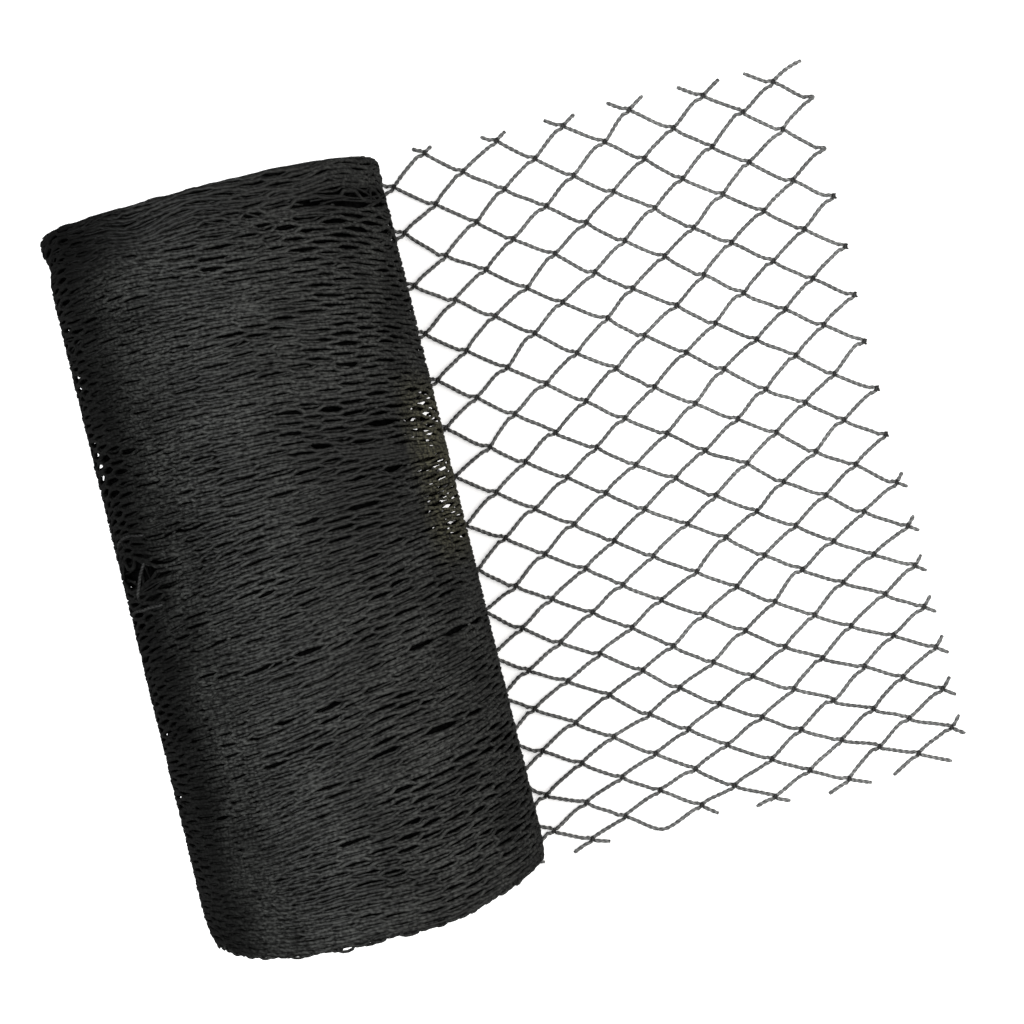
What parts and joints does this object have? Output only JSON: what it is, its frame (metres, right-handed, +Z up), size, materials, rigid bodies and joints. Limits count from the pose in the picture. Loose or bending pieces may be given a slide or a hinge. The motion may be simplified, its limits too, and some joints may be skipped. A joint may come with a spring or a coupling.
{
  "type": "bird netting roll",
  "caption": "Roll of black knotted diamond-mesh bird netting, wound on itself, with its loose end opened out flat beside it.",
  "frame": {"origin": "middle of the flat spot under the roll, on the surface that the roll lies on", "axes": "+Z up; Y along the roll's axis, +Y at its square head end; +X from the roll towards the free edge of the loose net"},
  "size_m": [0.3446, 0.3274, 0.1456],
  "materials": {
    "wound_net": "layers of collapsed black knotted net, matt with a dull plastic sheen",
    "net_twine": "twisted black polyethylene twine with a dull sheen"
  },
  "bodies": {
    "root": {"roll": "wound_net", "loose_net": "net_twine"}
  },
  "joints": []
}
